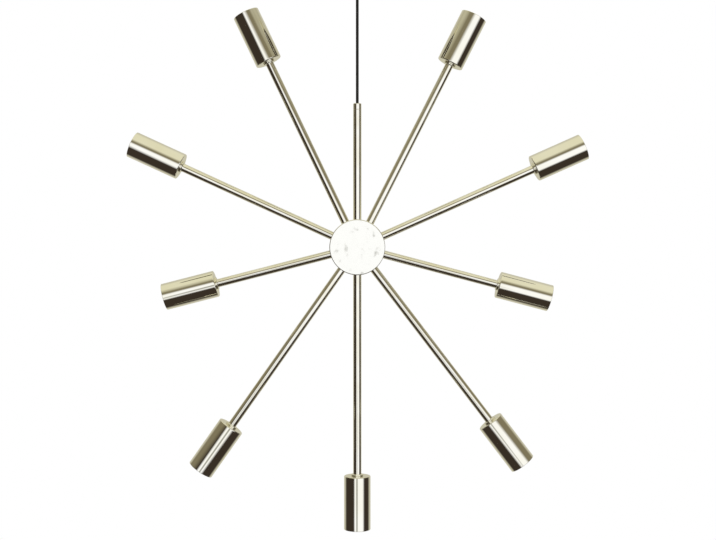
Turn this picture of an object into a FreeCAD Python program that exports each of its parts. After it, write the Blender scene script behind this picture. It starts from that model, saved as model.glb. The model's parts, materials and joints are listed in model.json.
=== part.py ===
"""Flat sputnik chandelier on a cord, in millimetres.

The origin is on the ceiling, over the middle of the lamp, and +Z points up. The lamp hangs below it.
All arms lie in one upright plane, the XZ plane, and the lamp is meant to be seen along +Y.
An arm's angle is counted clockwise from the stem, as seen by someone who looks along +Y.
"""

import FreeCAD
import Part
import Sketcher
import math
import os
import sys

SIZES = (
    # overall
    ("reach_high", 401, "hub centre to the rim of the two cups beside the stem"),
    ("reach_upper", 383, "hub centre to the rim of the two cups a little above the hub"),
    ("reach_lower", 308.5, "hub centre to the rim of the two cups a little below the hub"),
    ("reach_low", 421.5, "hub centre to the rim of the two cups beside the lowest"),
    ("reach_bottom", 436.5, "hub centre to the rim of the lowest cup"),
    ("arm_angle_1", 26.8, "degrees from the stem"),
    ("arm_angle_2", 66, "degrees from the stem"),
    ("arm_angle_3", 104.8, "degrees from the stem"),
    ("arm_angle_4", 142.6, "degrees from the stem"),
    ("arm_angle_5", 180, "degrees from the stem"),
    ("arm_angle_6", 215.2, "degrees from the stem"),
    ("arm_angle_7", 255.6, "degrees from the stem"),
    ("arm_angle_8", 294.6, "degrees from the stem"),
    ("arm_angle_9", 334.5, "degrees from the stem"),
    # tubes
    ("tube_diameter", 12.7, "arms and stem"),
    ("tube_wall", 1.25, "arms and stem"),
    ("tube_fit", 0.1, "gap between a tube and the hole that it screws into"),
    ("tube_past_wall", 0.5, "how far a tube shows inside the hub's wall"),
    # hub
    ("hub_diameter", 86, "puck across its round face"),
    ("hub_depth", 26, "puck from front to back, with its cover"),
    ("hub_face", 3, "thickness of the polished front"),
    ("hub_wall", 8, "thickness of the wall that the tubes screw into"),
    ("hub_edge", 0.8, "bevel round the front"),
    ("cover_thickness", 2.5, "plate that closes the back"),
    ("junction_diameter", 24, "ten-sided block that the leads meet in, over its corners"),
    ("junction_height", 16, "ten-sided block that the leads meet in"),
    # cups
    ("cup_diameter", 41, "outside"),
    ("cup_length", 83, "closed end to rim"),
    ("cup_wall", 1.2, "drawn sheet"),
    ("collar_diameter", 19.5, "collar at the back of a cup"),
    ("collar_height", 2.6, "collar at the back of a cup"),
    # lampholders
    ("holder_diameter", 36, "porcelain body"),
    ("holder_length", 62, "porcelain body"),
    ("holder_thread_depth", 10, "how far an arm screws into the body"),
    ("well_diameter", 26.6, "upper well of the body, for the screw cap of a lamp"),
    ("well_depth", 24, "upper well of the body, from its front to a shoulder"),
    ("contact_well_diameter", 20, "lower well of the body, round the centre contact"),
    ("contact_well_depth", 6, "lower well of the body, below the shoulder"),
    ("contact_width", 5, "sprung tongue at the floor of the well"),
    ("contact_length", 16, "sprung tongue at the floor of the well"),
    ("contact_rise", 3, "how far the tongue stands off the floor"),
    ("contact_sheet", 0.5, "sheet of the tongue"),
    ("lead_width", 4.6, "flat two-core lead inside an arm, across the arms' plane"),
    ("lead_height", 2.6, "flat two-core lead inside an arm, in the arms' plane"),
    ("lead_gap", 0.1, "between a lead and what it meets end on"),
    # stem and cord
    ("stem_length", 223, "hub centre to the top of the stem's cap"),
    ("gland_height", 9.5, "cap on the stem"),
    ("gland_spigot", 8, "part of the cap that is inside the stem"),
    ("cord_diameter", 4.4, "round flex"),
    ("cord_free_length", 167, "cord from the grip to the stem's cap"),
    ("cord_in_gland", 8, "how far the free cord reaches into the cap"),
    ("cord_fit", 0.08, "gap round the cord in a bore"),
    ("cord_end_gap", 0.3, "where the turning cord meets the stem's cord"),
    ("cord_lean_gap", 0.9, "where one length of cord leans against the next"),
    ("stop_width", 9.2, "six-sided ferrule crimped on the cord under the cap, over its corners"),
    ("stop_length", 6, "six-sided ferrule crimped on the cord under the cap"),
    # ceiling fitting
    ("canopy_diameter", 110, "outside"),
    ("canopy_height", 28, "ceiling to its underside"),
    ("canopy_wall", 1.2, "spun sheet"),
    ("barrel_diameter", 10, "threaded part of the cord grip"),
    ("barrel_fit", 0.1, "gap between the barrel and its holes"),
    ("grip_flange", 17, "cord grip under the canopy, across"),
    ("grip_flange_height", 4, "flange of the cord grip"),
    ("grip_length", 12, "cord grip below the canopy, with its flange"),
    ("grip_nose_diameter", 14.4, "cord grip below its flange, across"),
    ("mouth_diameter", 11.6, "wide mouth that lets the cord lean"),
    ("mouth_depth", 8.5, "wide mouth that lets the cord lean"),
    ("side_pivot_height", 8, "point about which the cord leans sideways, above the mouth"),
    ("pivot_height", 4, "point about which the cord leans to front and back, above the mouth"),
    ("nut_across_flats", 14, "nut of the cord grip"),
    ("nut_thickness", 4, "nut of the cord grip"),
    ("strap_thickness", 2, "bracket"),
    ("strap_width", 24, "bracket"),
    ("strap_gap", 1.8, "end of the bracket to the inside of the canopy"),
    ("ear_height", 14, "ceiling to the lower end of an ear"),
    ("slot_spacing", 60, "between the middles of the two slots"),
    ("slot_length", 14, "end to end"),
    ("slot_width", 5.4, "for a wood screw"),
    ("supply_hole", 14, "hole for the supply cable in the middle of the bracket"),
    ("side_screw_depth", 8, "ceiling to the axis of a canopy screw"),
    ("side_screw_diameter", 3.8, "shank"),
    ("side_screw_fit", 0.1, "gap round the shank"),
    ("side_screw_length", 7, "shank"),
    ("side_screw_head", 7, "head across"),
    ("side_screw_head_height", 2.2, "head"),
    ("barrel_past_nut", 1.5, "nut to the top of the barrel"),
    ("block_width", 30, "terminal block along X"),
    ("block_depth", 14, "terminal block along Y"),
    ("block_height", 12, "terminal block along Z"),
    ("block_entry", 4.5, "square wire entry, across"),
    ("block_entry_depth", 6, "square wire entry"),
    ("block_pitch", 9, "between two entries"),
)

REACHES = {
    1: "reach_high",
    2: "reach_upper",
    3: "reach_lower",
    4: "reach_low",
    5: "reach_bottom",
    6: "reach_low",
    7: "reach_lower",
    8: "reach_upper",
    9: "reach_high",
}

doc = FreeCAD.newDocument("SputnikChandelier")
sheet = doc.addObject("Spreadsheet::Sheet", "Sizes")
for row, (alias, number, meaning) in enumerate(SIZES, start=1):
    sheet.set(f"A{row}", meaning)
    sheet.set(f"B{row}", str(number))
    sheet.setAlias(f"B{row}", alias)
doc.recompute()

# radii and places that several pieces share
MOUTH_Z = "(-Sizes.canopy_height - Sizes.grip_length)"
PIVOT_Z = f"({MOUTH_Z} + Sizes.pivot_height)"
SIDE_PIVOT_Z = f"({MOUTH_Z} + Sizes.side_pivot_height)"
STEM_TOP = f"({MOUTH_Z} - Sizes.cord_free_length)"
HUB_Z = f"({STEM_TOP} - Sizes.stem_length)"
TUBE_R = "Sizes.tube_diameter / 2"
TUBE_BORE_R = "(Sizes.tube_diameter / 2 - Sizes.tube_wall)"
TUBE_HOLE_R = "(Sizes.tube_diameter / 2 + Sizes.tube_fit)"
HUB_R = "Sizes.hub_diameter / 2"
HUB_INSIDE_R = "(Sizes.hub_diameter / 2 - Sizes.hub_wall)"
HUB_FRONT = "(-Sizes.hub_depth / 2)"
HUB_FLOOR = "(Sizes.hub_face - Sizes.hub_depth / 2)"
HUB_SEAT = "(Sizes.hub_depth / 2 - Sizes.cover_thickness)"
TUBE_START = f"({HUB_INSIDE_R} - Sizes.tube_past_wall)"
JUNCTION_R = "Sizes.junction_diameter / 2"
JUNCTION_TOP = f"({HUB_FLOOR} + Sizes.junction_height)"
LEAD_START = f"({JUNCTION_R} + Sizes.lead_gap)"
ARM_DEPTH = "(Sizes.cup_wall + Sizes.holder_thread_depth)"
HOLDER_FRONT = "(Sizes.cup_wall + Sizes.holder_length)"
WELL_SHOULDER = "(Sizes.cup_wall + Sizes.holder_length - Sizes.well_depth)"
WELL_FLOOR = f"({WELL_SHOULDER} - Sizes.contact_well_depth)"
CORD_R = "Sizes.cord_diameter / 2"
CORD_BORE_R = "(Sizes.cord_diameter / 2 + Sizes.cord_fit)"
GLAND_SEAT = "(Sizes.stem_length - Sizes.gland_height)"
SPIGOT_END = f"({GLAND_SEAT} - Sizes.gland_spigot)"
STEM_CORD_TOP = "(Sizes.stem_length - Sizes.cord_in_gland - Sizes.cord_end_gap)"
CANOPY_R = "Sizes.canopy_diameter / 2"
CANOPY_INSIDE_R = "(Sizes.canopy_diameter / 2 - Sizes.canopy_wall)"
CANOPY_FLOOR = "(Sizes.canopy_wall - Sizes.canopy_height)"
BARREL_R = "Sizes.barrel_diameter / 2"
BARREL_HOLE_R = "(Sizes.barrel_diameter / 2 + Sizes.barrel_fit)"
STRAP_END = f"({CANOPY_INSIDE_R} - Sizes.strap_gap)"
BARREL_TOP = f"({CANOPY_FLOOR} + Sizes.nut_thickness + Sizes.barrel_past_nut)"
SIDE_SCREW_R = "Sizes.side_screw_diameter / 2"


def size(expression):
    """The value of an expression over the sheet's sizes."""
    return float(sheet.evalExpression(expression))


def new_body(label):
    """An empty body whose label names the sub-part."""
    body = doc.addObject("PartDesign::Body", label)
    body.Label = label
    return body


def body_axis(body, role):
    """One of the body's own axes or planes, by its role."""
    return [item for item in body.Origin.OriginFeatures if item.Role == role][0]


def new_sketch(body, name, role):
    """A sketch on one of the body's own planes."""
    sketch = body.newObject("Sketcher::SketchObject", name)
    sketch.AttachmentSupport = [(body_axis(body, role), "")]
    sketch.MapMode = "FlatFace"
    return sketch


def bind(sketch, kind, first, second, expression):
    """Adds a driving distance, radius or diameter that follows an expression."""
    elements = [*first, *second, size(expression)]
    index = sketch.addConstraint(Sketcher.Constraint(kind, *elements))
    sketch.setExpression(f"Constraints[{index}]", expression)


def draw_outline(sketch, corners):
    """A closed outline of straight lines through (across, up) corners, each bound to the sheet."""
    points = [FreeCAD.Vector(size(across), size(up), 0) for across, up in corners]
    count = len(points)
    for index in range(count):
        sketch.addGeometry(Part.LineSegment(points[index], points[(index + 1) % count]))
    for index in range(count):
        following = (index + 1) % count
        sketch.addConstraint(Sketcher.Constraint("Coincident", index, 2, following, 1))
    for index, (across, up) in enumerate(corners):
        bind(sketch, "DistanceX", (-1, 1), (index, 1), across)
        bind(sketch, "DistanceY", (-1, 1), (index, 1), up)


def draw_rectangle(sketch, half_across, half_up, middle="0"):
    """A rectangle about a middle on the sketch's X axis."""
    left = f"{middle} - {half_across}"
    right = f"{middle} + {half_across}"
    low = f"-{half_up}"
    draw_outline(sketch, [(left, low), (right, low), (right, half_up), (left, half_up)])


def draw_circles(sketch, circles):
    """Circles given as (across, up, radius), each bound to the sheet."""
    for across, up, radius in circles:
        centre = FreeCAD.Vector(size(across), size(up), 0)
        circle = Part.Circle(centre, FreeCAD.Vector(0, 0, 1), size(radius))
        index = sketch.addGeometry(circle)
        bind(sketch, "DistanceX", (-1, 1), (index, 3), across)
        bind(sketch, "DistanceY", (-1, 1), (index, 3), up)
        bind(sketch, "Radius", (index,), (), radius)


def draw_slot(sketch, centre, length, width):
    """A slot along the sketch's X axis, about a centre on that axis."""
    half_run = f"({length} - {width}) / 2"
    radius = f"{width} / 2"
    middle, run, bend = size(centre), size(half_run), size(radius)
    quarter = math.pi / 2
    axis = FreeCAD.Vector(0, 0, 1)
    left = FreeCAD.Vector(middle - run, 0, 0)
    right = FreeCAD.Vector(middle + run, 0, 0)
    lift = FreeCAD.Vector(0, bend, 0)
    first = sketch.addGeometry(Part.LineSegment(left + lift, right + lift))
    sketch.addGeometry(Part.ArcOfCircle(Part.Circle(right, axis, bend), -quarter, quarter))
    sketch.addGeometry(Part.LineSegment(right - lift, left - lift))
    sketch.addGeometry(Part.ArcOfCircle(Part.Circle(left, axis, bend), quarter, 3 * quarter))
    sketch.addConstraint(Sketcher.Constraint("Tangent", first, 2, first + 1, 2))
    sketch.addConstraint(Sketcher.Constraint("Tangent", first + 1, 1, first + 2, 1))
    sketch.addConstraint(Sketcher.Constraint("Tangent", first + 2, 2, first + 3, 2))
    sketch.addConstraint(Sketcher.Constraint("Tangent", first + 3, 1, first, 1))
    sketch.addConstraint(Sketcher.Constraint("PointOnObject", first + 1, 3, -1))
    sketch.addConstraint(Sketcher.Constraint("PointOnObject", first + 3, 3, -1))
    bind(sketch, "Radius", (first + 1,), (), radius)
    bind(sketch, "DistanceX", (-1, 1), (first + 1, 3), f"{centre} + {half_run}")
    bind(sketch, "DistanceX", (-1, 1), (first + 3, 3), f"{centre} - {half_run}")


def turned(body, corners, role="XZ_Plane"):
    """Turns (radius, height) corners about Z, or about Y when drawn on the XY plane."""
    sketch = new_sketch(body, f"{body.Label}_outline", role)
    draw_outline(sketch, corners)
    turning = body.newObject("PartDesign::Revolution", f"{body.Label}_turned")
    turning.Profile = sketch
    turning.ReferenceAxis = (sketch, ["V_Axis"])
    turning.Angle = 360
    sketch.Visibility = False
    doc.recompute()
    return turning


def drilled(body, name, radius, length, start, turn="0", x="0", y="0", z="0", about=(0, 1, 0)):
    """Drills along an axis that leans from +Z by a turn, from a start along that axis."""
    drill = body.newObject("PartDesign::SubtractiveCylinder", name)
    drill.setExpression("Radius", radius)
    drill.setExpression("Height", length)
    drill.Placement = FreeCAD.Placement(FreeCAD.Vector(), FreeCAD.Rotation(FreeCAD.Vector(*about), 1))
    drill.setExpression("Placement.Rotation.Angle", turn)
    side, lean = about[1], about[0]
    drill.setExpression("Placement.Base.x", f"{x} + ({start}) * sin({turn}) * {side}")
    drill.setExpression("Placement.Base.y", f"{y} - ({start}) * sin({turn}) * {lean}")
    drill.setExpression("Placement.Base.z", f"{z} + ({start}) * cos({turn})")
    doc.recompute()
    return drill


def place(item, x="0", y="0", z="0", turn="0"):
    """Puts an item at a point, turned about Y so that its +Z leans towards +X."""
    start = FreeCAD.Rotation(FreeCAD.Vector(0, 1, 0), 1)
    item.Placement = FreeCAD.Placement(FreeCAD.Vector(), start)
    item.setExpression("Placement.Rotation.Angle", turn)
    item.setExpression("Placement.Base.x", x)
    item.setExpression("Placement.Base.y", y)
    item.setExpression("Placement.Base.z", z)


def arm_angle(number):
    """An arm's angle from the stem."""
    return f"Sizes.arm_angle_{number}"


def cup_base(number):
    """Distance from the hub's centre to the closed end of an arm's cup."""
    return f"(Sizes.{REACHES[number]} - Sizes.cup_length)"


def place_on_cup(item, number):
    """Puts an item at the closed end of an arm's cup, with +Z out along the arm."""
    angle = arm_angle(number)
    base = cup_base(number)
    place(item, x=f"{base} * sin({angle})", z=f"{base} * cos({angle}) + {HUB_Z}", turn=angle)


def group(label, members):
    """One sub-part that holds several separate solids."""
    together = doc.addObject("Part::Compound", label)
    together.Label = label
    together.Links = members
    return together


def copies(label, pattern, placers):
    """A group of linked copies of a pattern piece, each put in its place by its own function."""
    members = []
    for index, placer in enumerate(placers, start=1):
        copy = doc.addObject("App::Link", f"{label}_{index}")
        copy.LinkedObject = pattern
        copy.LinkTransform = False
        placer(copy)
        members.append(copy)
    return group(label, members)


def on_every_cup(label, pattern):
    """A group with one copy of a pattern piece on each of the nine arms."""
    placers = [lambda copy, number=number: place_on_cup(copy, number) for number in REACHES]
    return copies(label, pattern, placers)


# ceiling fitting


def make_ceiling_bracket():
    """Flat strap with an ear turned down at each end, two slots and a hole for the supply."""
    body = new_body("ceiling_bracket")
    inner = f"({STRAP_END} - Sizes.strap_thickness)"
    corners = [
        (f"-{STRAP_END}", "-Sizes.ear_height"),
        (f"-{STRAP_END}", "0"),
        (STRAP_END, "0"),
        (STRAP_END, "-Sizes.ear_height"),
        (inner, "-Sizes.ear_height"),
        (inner, "-Sizes.strap_thickness"),
        (f"-{inner}", "-Sizes.strap_thickness"),
        (f"-{inner}", "-Sizes.ear_height"),
    ]
    sketch = new_sketch(body, "bracket_side", "XZ_Plane")
    draw_outline(sketch, corners)
    strap = body.newObject("PartDesign::Pad", "bracket_strap")
    strap.Profile = sketch
    strap.SideType = "Symmetric"
    strap.setExpression("Length", "Sizes.strap_width")
    doc.recompute()
    openings = new_sketch(body, "bracket_openings", "XY_Plane")
    draw_slot(openings, "Sizes.slot_spacing / 2", "Sizes.slot_length", "Sizes.slot_width")
    draw_slot(openings, "-Sizes.slot_spacing / 2", "Sizes.slot_length", "Sizes.slot_width")
    draw_circles(openings, [("0", "0", "Sizes.supply_hole / 2")])
    cut = body.newObject("PartDesign::Pocket", "bracket_slots")
    cut.Profile = openings
    cut.SideType = "Symmetric"
    cut.setExpression("Length", "4 * Sizes.strap_thickness")
    doc.recompute()
    length = f"2 * {STRAP_END} + 2"
    radius = f"{SIDE_SCREW_R} + Sizes.side_screw_fit"
    start = f"-{STRAP_END} - 1"
    drilled(body, "ear_holes", radius, length, start, turn="90", z="-Sizes.side_screw_depth")
    return body


def make_canopy():
    """Spun cup, open towards the ceiling, with a hole for the cord grip and two for its screws."""
    body = new_body("canopy")
    underside = "-Sizes.canopy_height"
    corners = [
        (BARREL_HOLE_R, underside),
        (CANOPY_R, underside),
        (CANOPY_R, "0"),
        (CANOPY_INSIDE_R, "0"),
        (CANOPY_INSIDE_R, CANOPY_FLOOR),
        (BARREL_HOLE_R, CANOPY_FLOOR),
    ]
    turned(body, corners)
    length = f"2 * {CANOPY_R} + 2"
    radius = f"{SIDE_SCREW_R} + Sizes.side_screw_fit"
    start = f"-{CANOPY_R} - 1"
    drilled(body, "side_holes", radius, length, start, turn="90", z="-Sizes.side_screw_depth")
    return body


def make_canopy_screws():
    """Two screws through the canopy's wall into the bracket's ears."""
    screw = new_body("canopy_screw_pattern")
    head_top = "Sizes.side_screw_head_height"
    corners = [
        ("0", "-Sizes.side_screw_length"),
        (SIDE_SCREW_R, "-Sizes.side_screw_length"),
        (SIDE_SCREW_R, "0"),
        ("Sizes.side_screw_head / 2", "0"),
        ("Sizes.side_screw_head / 2", head_top),
        ("0", head_top),
    ]
    turned(screw, corners)
    depth = "-Sizes.side_screw_depth"
    placers = [
        lambda copy: place(copy, x=CANOPY_R, z=depth, turn="90"),
        lambda copy: place(copy, x=f"-{CANOPY_R}", z=depth, turn="-90"),
    ]
    return copies("canopy_screws", screw, placers)


def make_cord_grip():
    """Threaded bush under the canopy. Its mouth is wider than the cord, so that the cord can lean."""
    body = new_body("cord_grip")
    underside = "-Sizes.canopy_height"
    flange_foot = f"{underside} - Sizes.grip_flange_height"
    nose_r = "Sizes.grip_nose_diameter / 2"
    mouth_r = "Sizes.mouth_diameter / 2"
    mouth_floor = f"{MOUTH_Z} + Sizes.mouth_depth"
    corners = [
        (CORD_BORE_R, BARREL_TOP),
        (BARREL_R, BARREL_TOP),
        (BARREL_R, underside),
        ("Sizes.grip_flange / 2", underside),
        ("Sizes.grip_flange / 2", flange_foot),
        (nose_r, flange_foot),
        (nose_r, MOUTH_Z),
        (mouth_r, MOUTH_Z),
        (mouth_r, mouth_floor),
        (CORD_BORE_R, mouth_floor),
    ]
    turned(body, corners)
    return body


def make_six_sided_ring(label, corner_radius, hole_radius, height, foot):
    """A six-sided ring about Z that stands at a height."""
    outside = doc.addObject("Part::Prism", f"{label}_outside")
    outside.Polygon = 6
    outside.setExpression("Circumradius", corner_radius)
    outside.setExpression("Height", height)
    hole = doc.addObject("Part::Cylinder", f"{label}_hole")
    hole.setExpression("Radius", hole_radius)
    hole.setExpression("Height", height)
    ring = doc.addObject("Part::Cut", label)
    ring.Base = outside
    ring.Tool = hole
    ring.Label = label
    place(ring, z=foot)
    return ring


def make_cord_grip_nut():
    """Nut that holds the cord grip from inside the canopy."""
    corner_radius = "Sizes.nut_across_flats / 2 / cos(30)"
    height = "Sizes.nut_thickness"
    return make_six_sided_ring("cord_grip_nut", corner_radius, BARREL_HOLE_R, height, CANOPY_FLOOR)


def make_mains_terminal_block():
    """Three-way block that stands on the grip's barrel, with square wire entries on top."""
    body = new_body("mains_terminal_block")
    half_width = "Sizes.block_width / 2"
    half_depth = "Sizes.block_depth / 2"
    plan = new_sketch(body, "block_plan", "XY_Plane")
    draw_rectangle(plan, half_width, half_depth)
    moulding = body.newObject("PartDesign::Pad", "block_moulding")
    moulding.Profile = plan
    moulding.setExpression("Length", "Sizes.block_height")
    doc.recompute()
    opening = new_sketch(body, "block_entry_plan", "XY_Plane")
    opening.setExpression("AttachmentOffset.Base.z", "Sizes.block_height")
    half_entry = "Sizes.block_entry / 2"
    draw_rectangle(opening, half_entry, half_entry, middle="-Sizes.block_pitch")
    entry = body.newObject("PartDesign::Pocket", "block_entry")
    entry.Profile = opening
    entry.setExpression("Length", "Sizes.block_entry_depth")
    doc.recompute()
    row = body.newObject("PartDesign::LinearPattern", "block_entries")
    row.Originals = [entry]
    row.Direction = (body_axis(body, "X_Axis"), [""])
    row.Occurrences = 3
    row.setExpression("Length", "2 * Sizes.block_pitch")
    body.Tip = row
    doc.recompute()
    place(body, z=BARREL_TOP)
    return body


def make_straight_cord(label, foot, top):
    """A straight length of cord between two heights on the lamp's axis."""
    cord = doc.addObject("Part::Cylinder", label)
    cord.Label = label
    cord.setExpression("Radius", CORD_R)
    cord.setExpression("Height", f"{top} - {foot}")
    place(cord, z=foot)
    return cord


def make_cord_tail():
    """The clamped cord, from above the grip's mouth to the terminal block."""
    foot = f"({SIDE_PIVOT_Z} + Sizes.cord_lean_gap)"
    return make_straight_cord("cord_tail", foot, BARREL_TOP)


def make_cord_bend():
    """The short length of cord in the grip's mouth, between the two points where the cord leans."""
    return make_straight_cord("cord_bend", f"({PIVOT_Z} + Sizes.cord_lean_gap / 2)", SIDE_PIVOT_Z)


def make_cord():
    """The free cord, from the grip's mouth into the stem's cap."""
    foot = f"({STEM_TOP} - Sizes.cord_in_gland)"
    return make_straight_cord("cord", foot, f"({PIVOT_Z} - Sizes.cord_lean_gap / 2)")


# stem


def make_stem_gland():
    """Cap on the stem, with a spigot inside the tube and a bore that the cord turns in."""
    body = new_body("stem_gland")
    spigot_r = f"{TUBE_BORE_R} - Sizes.tube_fit"
    corners = [
        (CORD_BORE_R, SPIGOT_END),
        (spigot_r, SPIGOT_END),
        (spigot_r, GLAND_SEAT),
        (TUBE_R, GLAND_SEAT),
        (TUBE_R, "Sizes.stem_length"),
        (CORD_BORE_R, "Sizes.stem_length"),
    ]
    turned(body, corners)
    place(body, z=HUB_Z)
    return body


def make_tube(label, end, angle):
    """A tube that starts just inside the hub's wall and ends at a distance from the hub's centre."""
    body = new_body(label)
    corners = [(TUBE_BORE_R, TUBE_START), (TUBE_R, TUBE_START), (TUBE_R, end), (TUBE_BORE_R, end)]
    turned(body, corners)
    place(body, z=HUB_Z, turn=angle)
    return body


def make_stem_cord():
    """The cord's length inside the stem, from the cap to the junction block."""
    return make_straight_cord("stem_cord", f"({LEAD_START} + {HUB_Z})", f"({STEM_CORD_TOP} + {HUB_Z})")


def make_cord_stop():
    """Ferrule crimped on the cord. The cap's spigot rests on it, and so it carries the lamp."""
    height = "Sizes.stop_length"
    foot = f"{SPIGOT_END} - {height} + {HUB_Z}"
    return make_six_sided_ring("cord_stop", "Sizes.stop_width / 2", CORD_BORE_R, height, foot)


# hub


def make_hub_body():
    """Puck turned from solid, open at the back, with ten radial holes that the tubes screw into."""
    body = new_body("hub_body")
    edge = "Sizes.hub_edge"
    corners = [
        ("0", HUB_FRONT),
        (f"{HUB_R} - {edge}", HUB_FRONT),
        (HUB_R, f"{HUB_FRONT} + {edge}"),
        (HUB_R, HUB_SEAT),
        (HUB_INSIDE_R, HUB_SEAT),
        (HUB_INSIDE_R, HUB_FLOOR),
        ("0", HUB_FLOOR),
    ]
    turned(body, corners, role="XY_Plane")
    for number in REACHES:
        drilled(body, f"arm_hole_{number}", TUBE_HOLE_R, HUB_R, JUNCTION_R, turn=arm_angle(number))
    drilled(body, "stem_hole", TUBE_HOLE_R, HUB_R, JUNCTION_R)
    place(body, z=HUB_Z)
    return body


def make_hub_cover():
    """Round plate that closes the back of the hub."""
    body = new_body("hub_cover")
    back = "Sizes.hub_depth / 2"
    turned(body, [("0", HUB_SEAT), (HUB_R, HUB_SEAT), (HUB_R, back), ("0", back)], role="XY_Plane")
    place(body, z=HUB_Z)
    return body


def make_hub_junction_block():
    """Ten-sided block on the hub's floor, which the leads of the arms and the cord meet from all sides."""
    block = doc.addObject("Part::Prism", "hub_junction_block")
    block.Label = "hub_junction_block"
    block.Polygon = 10
    block.setExpression("Circumradius", JUNCTION_R)
    block.setExpression("Height", "Sizes.junction_height")
    block.Placement = FreeCAD.Placement(FreeCAD.Vector(), FreeCAD.Rotation(FreeCAD.Vector(1, 0, 0), -90))
    block.setExpression("Placement.Base.y", HUB_FLOOR)
    block.setExpression("Placement.Base.z", HUB_Z)
    return block


# arms


def make_lamp_cups():
    """Drawn cup on each arm, open outwards, with a collar round the arm at its closed end."""
    cup = new_body("lamp_cup_pattern")
    outside = "Sizes.cup_diameter / 2"
    inside = f"{outside} - Sizes.cup_wall"
    collar = "Sizes.collar_diameter / 2"
    collar_back = "-Sizes.collar_height"
    corners = [
        (TUBE_HOLE_R, collar_back),
        (collar, collar_back),
        (collar, "0"),
        (outside, "0"),
        (outside, "Sizes.cup_length"),
        (inside, "Sizes.cup_length"),
        (inside, "Sizes.cup_wall"),
        (TUBE_HOLE_R, "Sizes.cup_wall"),
    ]
    turned(cup, corners)
    return on_every_cup("lamp_cups", cup)


def make_lampholders():
    """Porcelain body in each cup: a threaded seat for the arm at its back, a stepped well in front."""
    holder = new_body("lampholder_pattern")
    outside = "Sizes.holder_diameter / 2"
    well_r = "Sizes.well_diameter / 2"
    contact_well_r = "Sizes.contact_well_diameter / 2"
    corners = [
        (TUBE_HOLE_R, "Sizes.cup_wall"),
        (outside, "Sizes.cup_wall"),
        (outside, HOLDER_FRONT),
        (well_r, HOLDER_FRONT),
        (well_r, WELL_SHOULDER),
        (contact_well_r, WELL_SHOULDER),
        (contact_well_r, WELL_FLOOR),
        ("0", WELL_FLOOR),
        ("0", ARM_DEPTH),
        (TUBE_HOLE_R, ARM_DEPTH),
    ]
    turned(holder, corners)
    return on_every_cup("lampholders", holder)


def make_centre_contacts():
    """Sprung tongue on the floor of each lampholder's well, raised under the lamp cap's tip."""
    tongue = new_body("contact_pattern")
    half = "Sizes.contact_length / 2"
    sheet_up = "Sizes.contact_sheet"
    rise = "Sizes.contact_rise"
    corners = [
        (f"-{half}", WELL_FLOOR),
        (f"-{half} / 4", WELL_FLOOR),
        (f"{half} / 4", f"{WELL_FLOOR} + {rise} - {sheet_up}"),
        (f"{half} * 3 / 4", f"{WELL_FLOOR} + {rise} - {sheet_up}"),
        (f"{half} * 3 / 4", f"{WELL_FLOOR} + {rise}"),
        (f"{half} / 4 - {sheet_up}", f"{WELL_FLOOR} + {rise}"),
        (f"-{half} / 4 - {sheet_up}", f"{WELL_FLOOR} + {sheet_up}"),
        (f"-{half}", f"{WELL_FLOOR} + {sheet_up}"),
    ]
    sketch = new_sketch(tongue, "contact_side", "XZ_Plane")
    draw_outline(sketch, corners)
    strip = tongue.newObject("PartDesign::Pad", "contact_strip")
    strip.Profile = sketch
    strip.SideType = "Symmetric"
    strip.setExpression("Length", "Sizes.contact_width")
    doc.recompute()
    return on_every_cup("centre_contacts", tongue)


def make_arm_leads():
    """Flat lead inside each arm, from the junction block to the lampholder."""
    leads = []
    for number in REACHES:
        lead = new_body(f"arm_lead_{number}")
        section = new_sketch(lead, f"lead_section_{number}", "XY_Plane")
        draw_rectangle(section, "Sizes.lead_height / 2", "Sizes.lead_width / 2")
        section.setExpression("AttachmentOffset.Base.z", LEAD_START)
        run = lead.newObject("PartDesign::Pad", f"lead_run_{number}")
        run.Profile = section
        run.setExpression("Length", f"{cup_base(number)} + {ARM_DEPTH} - Sizes.lead_gap - {LEAD_START}")
        doc.recompute()
        place(lead, z=HUB_Z, turn=arm_angle(number))
        leads.append(lead)
    return group("arm_leads", leads)


def make_arm_tubes():
    """Nine arms of five lengths, each ending inside its lampholder."""
    arms = []
    for number in REACHES:
        end = f"{cup_base(number)} + {ARM_DEPTH} - 2 * Sizes.lead_gap"
        arms.append(make_tube(f"arm_tube_{number}", end, arm_angle(number)))
    return arms


def make_everything():
    """Every sub-part, from the ceiling down."""
    return [
        make_ceiling_bracket(),
        make_canopy(),
        make_canopy_screws(),
        make_cord_grip(),
        make_cord_grip_nut(),
        make_mains_terminal_block(),
        make_cord_tail(),
        make_cord_bend(),
        make_cord(),
        make_stem_gland(),
        make_tube("stem_tube", GLAND_SEAT, "0"),
        make_stem_cord(),
        make_cord_stop(),
        make_hub_body(),
        make_hub_cover(),
        make_hub_junction_block(),
        *make_arm_tubes(),
        make_lamp_cups(),
        make_lampholders(),
        make_centre_contacts(),
        make_arm_leads(),
    ]


def check(subparts):
    """Stops if an object failed, or if a sub-part has no sound solid."""
    for item in doc.Objects:
        if "Invalid" in item.State or "Error" in item.State:
            sys.exit(f"{item.Label}: {item.State}")
    for item in subparts:
        if item.Shape.isNull() or not item.Shape.isValid() or not item.Shape.Solids:
            sys.exit(f"{item.Label} has no sound solid")


def write(subparts):
    """Writes each sub-part to a file of its own."""
    os.makedirs("parts", exist_ok=True)
    for item in subparts:
        item.Shape.exportStep(f"parts/{item.Label}.step")


made = make_everything()
doc.recompute()
check(made)
write(made)
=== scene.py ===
"""Looks of the nine-armed chandelier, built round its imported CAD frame.

Lengths are in metres in the frame of the CAD, in which the ceiling is z = 0 and the arms lie in y = 0.
"""

import json
import logging
import math
from dataclasses import dataclass
from enum import Enum
from typing import Sequence

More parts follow.
